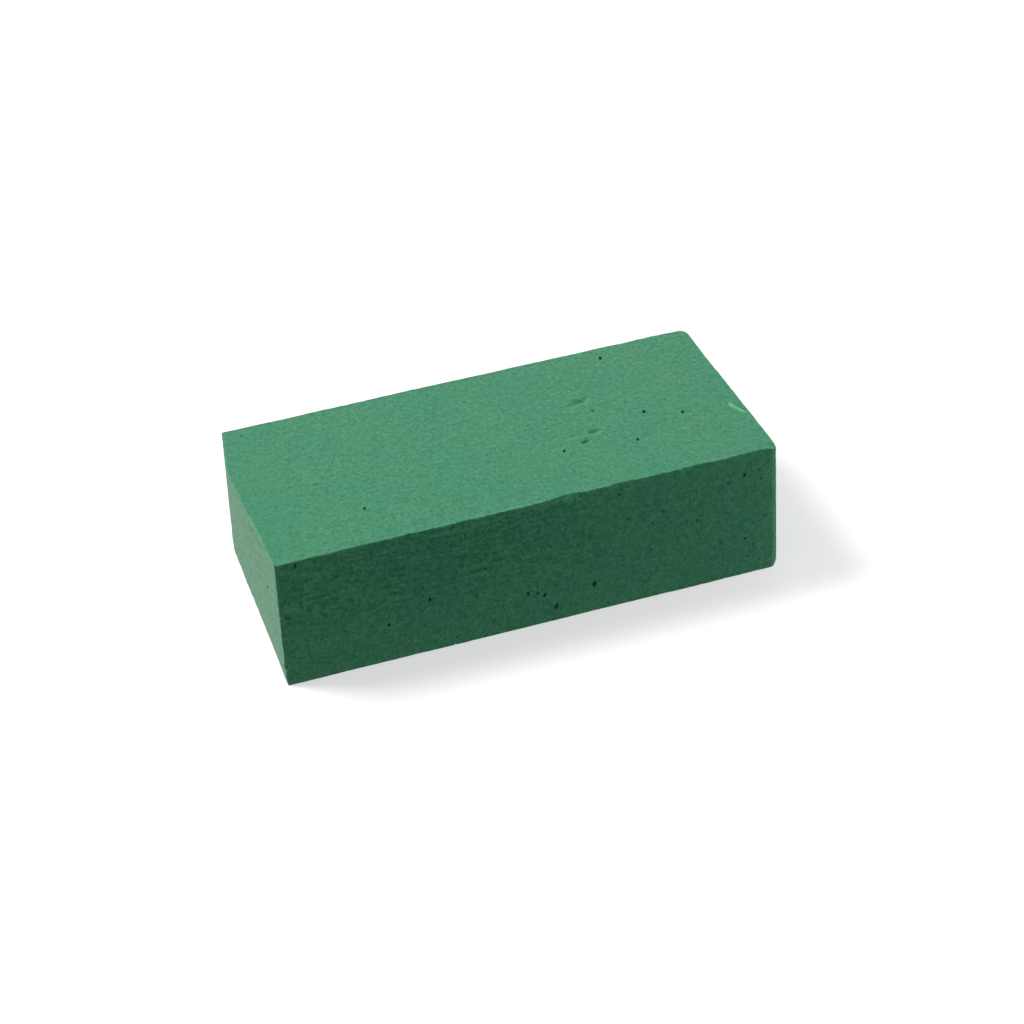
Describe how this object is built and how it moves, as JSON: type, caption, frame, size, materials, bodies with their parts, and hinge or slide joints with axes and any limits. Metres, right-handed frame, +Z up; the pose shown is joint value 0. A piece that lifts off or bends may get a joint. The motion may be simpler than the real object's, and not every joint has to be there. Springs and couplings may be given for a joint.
{
  "type": "floral foam brick",
  "caption": "Rectangular brick of rigid green open-cell floral foam, sawn flat at the left end, with softly rounded corners and bottom edge at the moulded end.",
  "frame": {"origin": "on the base, midway along the length and the width", "axes": "+X along the length towards the moulded end, +Y across the width towards the back, +Z up"},
  "size_m": [0.23, 0.11, 0.064],
  "materials": {
    "foam": "dry powdery open-cell phenolic foam, fully matte"
  },
  "bodies": {
    "root": {"foam_brick": "foam"}
  },
  "joints": []
}
